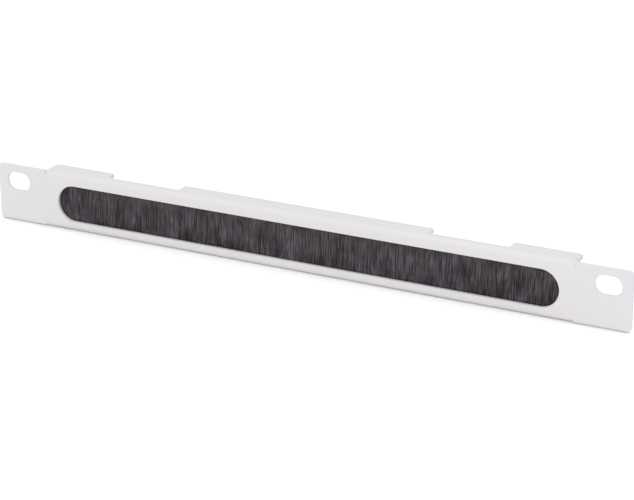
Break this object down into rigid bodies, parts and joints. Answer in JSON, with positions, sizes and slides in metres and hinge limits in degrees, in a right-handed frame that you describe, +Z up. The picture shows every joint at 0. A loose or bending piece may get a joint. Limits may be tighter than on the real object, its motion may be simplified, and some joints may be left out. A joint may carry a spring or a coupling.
{
  "type": "rack brush panel",
  "caption": "Light grey folded steel rack panel with slotted ears and a long round-ended window closed by a strip brush, for passing cables through.",
  "frame": {"origin": "midway between the centres of the two rack slots, on the back face of the ears that seats on the rack's rails", "axes": "+X along the panel, to the right seen from the front; +Y into the rack, square to the faceplate; +Z up"},
  "size_m": [0.254, 0.009, 0.0222],
  "materials": {
    "powder_coat": "light grey powder coat, fine even texture, soft satin",
    "zinc_plate": "zinc-plated steel strip, dull bluish silver",
    "core_steel": "drawn steel wire, bare",
    "copper_flash": "steel weld stud with a thin copper flash",
    "bristle_black": "black nylon bristles, faint sheen along each strand"
  },
  "bodies": {
    "root": {"faceplate": "powder_coat", "brush_channel": "zinc_plate", "core_wire": "core_steel", "bristles": "bristle_black", "retaining_rail": "zinc_plate", "weld_stud_left": "copper_flash", "weld_stud_right": "copper_flash", "spring_washer_left": "zinc_plate", "spring_washer_right": "zinc_plate", "hex_nut_left": "zinc_plate", "hex_nut_right": "zinc_plate"}
  },
  "joints": []
}
